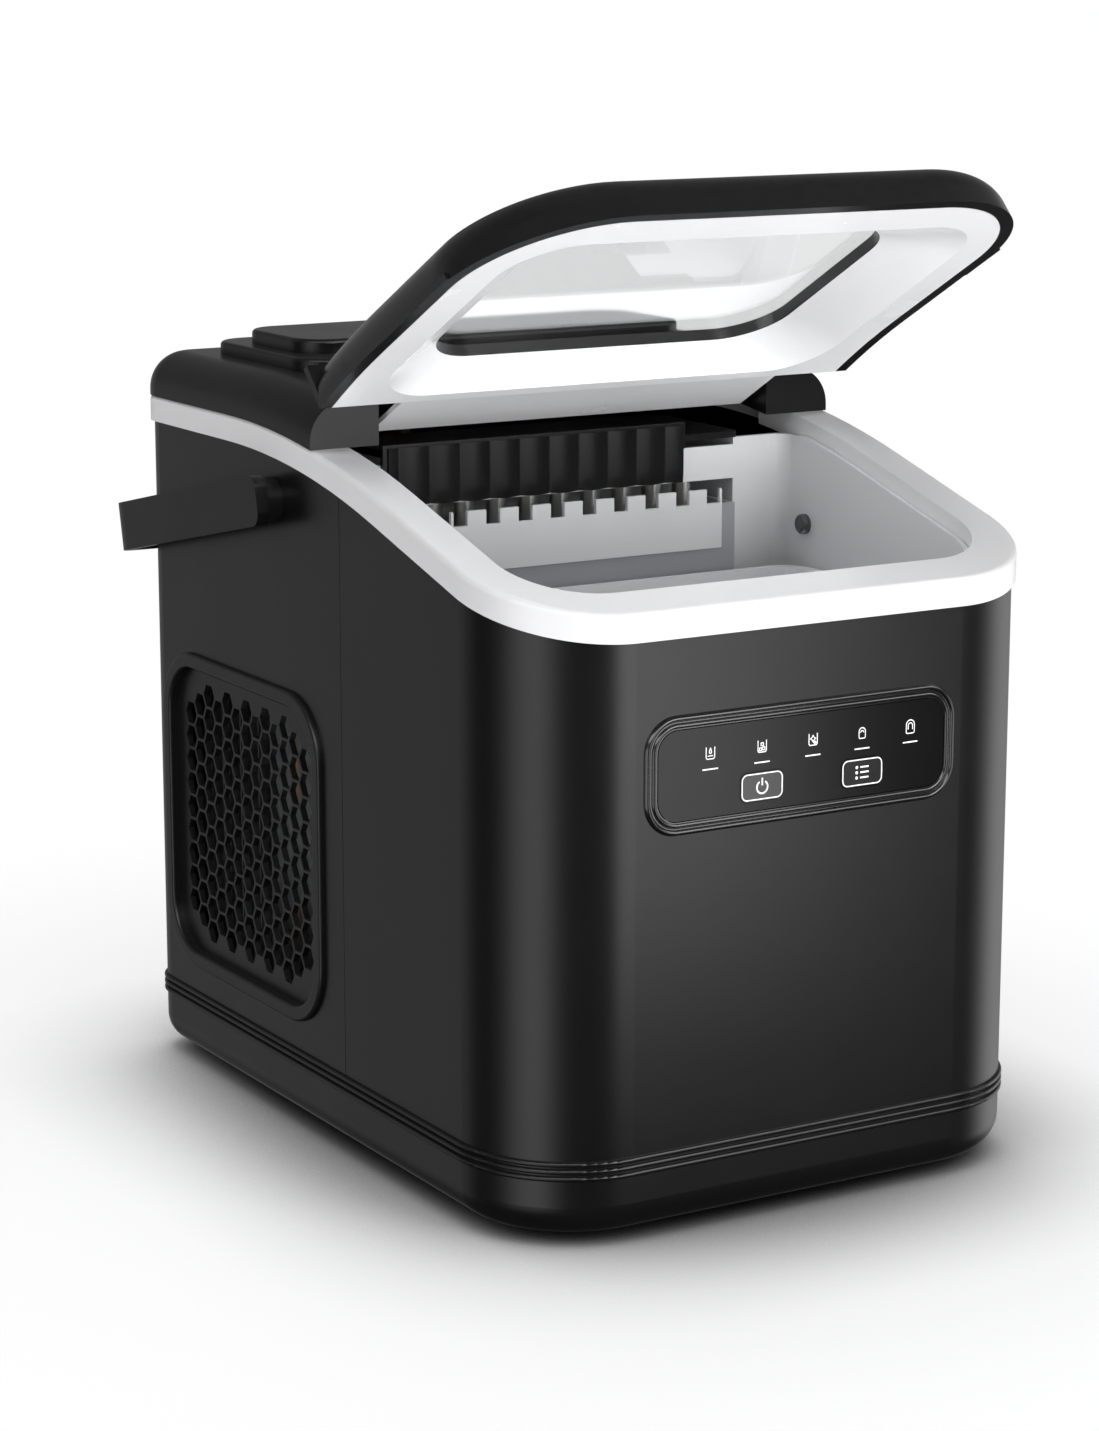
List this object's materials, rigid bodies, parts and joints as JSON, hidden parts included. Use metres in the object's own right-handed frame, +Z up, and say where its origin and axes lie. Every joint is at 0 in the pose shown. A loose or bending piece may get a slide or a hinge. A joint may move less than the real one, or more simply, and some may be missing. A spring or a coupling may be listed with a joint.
{
  "type": "countertop ice maker",
  "caption": "Compact countertop ice maker: black cabinet, hinged lid with a clear window raised open, lift-out ice basket, touch panel, side vents and a folding carrying handle.",
  "frame": {"origin": "on the worktop, under the middle of the cabinet's width and depth", "axes": "+X to the user's right, +Y from the control panel to the back, +Z up"},
  "size_m": [0.248, 0.3237, 0.3665],
  "materials": {
    "cabinet_black": "satin moulded",
    "base_black": "satin moulded",
    "foot_rubber": "matte",
    "trim_white": "semi-gloss",
    "lid_black": "semi-gloss",
    "cover_black": "semi-gloss",
    "liner_white": "semi-gloss",
    "window_clear": "clear polished",
    "vent_black": "satin moulded",
    "handle_black": "satin",
    "grip_black": "fine textured",
    "pivot_black": "satin",
    "pin_steel": "brushed",
    "bezel_black": "semi-gloss",
    "fascia_black": "high gloss with printed icons",
    "key_black": "satin with printed outline",
    "circuit_green": "solder mask",
    "tank_white": "satin moulded",
    "sensor_grey": "translucent smoke",
    "basket_white": "satin moulded",
    "foam_yellow": null,
    "plate_aluminium": "brushed",
    "coil_copper": "drawn copper",
    "finger_nickel": "nickel plated copper",
    "chamber_grey": "satin",
    "tray_grey": "satin moulded",
    "shaft_steel": "ground",
    "pusher_white": "satin",
    "motor_grey": "matte",
    "pump_white": "matte",
    "hose_silicone": "milky",
    "drain_white": "matte",
    "cap_black": "matte",
    "fin_aluminium": "mill",
    "fan_black": "matte",
    "rotor_black": "matte",
    "motor_metal": "plain",
    "compressor_black": "gloss enamel",
    "grommet_rubber": "matte",
    "valve_brass": "plain",
    "board_green": "solder mask",
    "screw_black": "black oxide",
    "gland_black": "matte"
  },
  "bodies": {
    "cabinet": {"base_tray": "base_black", "feet": "foot_rubber", "front_wrap": "cabinet_black", "rear_housing": "cabinet_black", "side_vent_right": "vent_black", "side_vent_left": "vent_black", "rim_trim": "trim_white", "top_cover": "cover_black", "hinge_pins": "pin_steel", "handle_pivots": "pivot_black", "control_bezel": "bezel_black", "control_fascia": "fascia_black", "control_board": "circuit_green", "inner_tank": "tank_white", "ice_sensors": "sensor_grey", "insulation": "foam_yellow", "evaporator_plate": "plate_aluminium", "evaporator_coil": "coil_copper", "freezing_fingers": "finger_nickel", "evaporator_cover": "chamber_grey", "tray_motor": "motor_grey", "water_pump": "pump_white", "pump_hose": "hose_silicone", "drain_tube": "drain_white", "condenser_fins": "fin_aluminium", "condenser_coil": "coil_copper", "fan_frame": "fan_black", "fan_motor": "motor_metal", "compressor": "compressor_black", "compressor_mounts": "grommet_rubber", "discharge_line": "coil_copper", "liquid_line": "coil_copper", "filter_drier": "coil_copper", "capillary_tube": "coil_copper", "hot_gas_valve": "valve_brass", "bypass_line": "coil_copper", "suction_line": "coil_copper", "power_board": "board_green", "housing_screws": "screw_black", "cord_gland": "gland_black"},
    "lid": {"lid_frame": "lid_black", "lid_liner": "liner_white", "lid_window": "window_clear"},
    "handle": {"handle_arm_left": "handle_black", "handle_arm_right": "handle_black", "handle_grip": "grip_black"},
    "basket": {"ice_basket": "basket_white"},
    "tray": {"water_tray": "tray_grey", "tray_shaft": "shaft_steel", "ice_pusher": "pusher_white"},
    "rotor": {"fan_rotor": "rotor_black"},
    "power_key": {"power_button": "key_black"},
    "select_key": {"select_button": "key_black"},
    "cap": {"drain_cap": "cap_black"}
  },
  "joints": [
    {"name": "lid_hinge", "type": "hinge", "parent": "cabinet", "child": "lid", "pos_m": [0, 0.012, 0.277], "axis": [-1, 0, 0], "range_deg": [-44, 46]},
    {"name": "handle_swing", "type": "hinge", "parent": "cabinet", "child": "handle", "pos_m": [0, 0.0335, 0.2415], "axis": [1, 0, 0], "range_deg": [0, 102.3]},
    {"name": "basket_lift", "type": "slide", "parent": "cabinet", "child": "basket", "axis": [0, 0, 1], "range_m": [0, 0.01]},
    {"name": "tray_tilt", "type": "hinge", "parent": "cabinet", "child": "tray", "pos_m": [0, 0.034, 0.232], "axis": [1, 0, 0], "range_deg": [0, 45]},
    {"name": "fan_spin", "type": "hinge", "parent": "cabinet", "child": "rotor", "pos_m": [-0.062, 0.102, 0.104], "axis": [1, 0, 0], "continuous": true},
    {"name": "power_press", "type": "slide", "parent": "cabinet", "child": "power_key", "axis": [0, 1, 0], "range_m": [0, 0.0008], "stiffness_N_per_m": 800},
    {"name": "select_press", "type": "slide", "parent": "cabinet", "child": "select_key", "axis": [0, 1, 0], "range_m": [0, 0.0008], "stiffness_N_per_m": 800},
    {"name": "cap_pull", "type": "slide", "parent": "cabinet", "child": "cap", "axis": [1, 0, 0], "range_m": [0, 0.012]}
  ]
}
